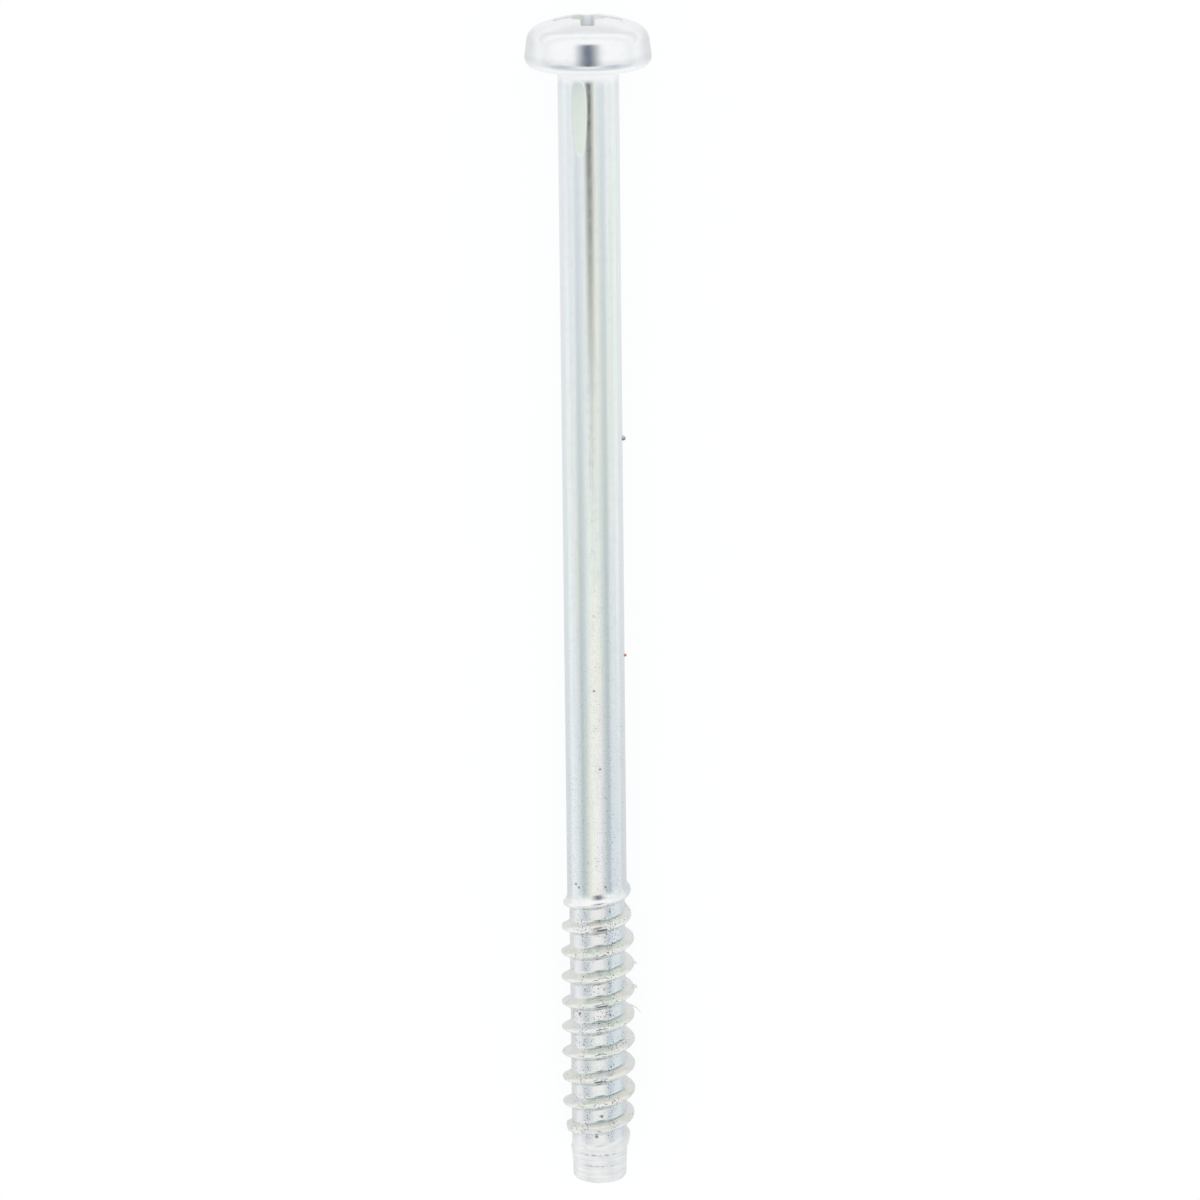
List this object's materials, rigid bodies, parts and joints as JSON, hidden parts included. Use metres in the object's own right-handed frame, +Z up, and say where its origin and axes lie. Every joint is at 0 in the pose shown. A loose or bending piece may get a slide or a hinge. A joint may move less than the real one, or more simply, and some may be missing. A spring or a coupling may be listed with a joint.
{
  "type": "self-tapping screw",
  "caption": "Long pan head self-tapping screw with a cross recess, a plain shank, a short coarse thread and a blunt end, lying on its head's rim and its thread.",
  "frame": {"origin": "on the surface that the screw lies on, under the middle of its length", "axes": "+X from the head towards the tip, +Z up, and +Y to the right when the screw is seen from above with its head at the top"},
  "size_m": [0.0626, 0.0064, 0.0065],
  "materials": {
    "zinc_plate": "bright zinc plate on steel, with a faint green, yellow and blue sheen, small pits and bright nicked crests"
  },
  "bodies": {
    "root": {"tapping_screw": "zinc_plate"}
  },
  "joints": []
}
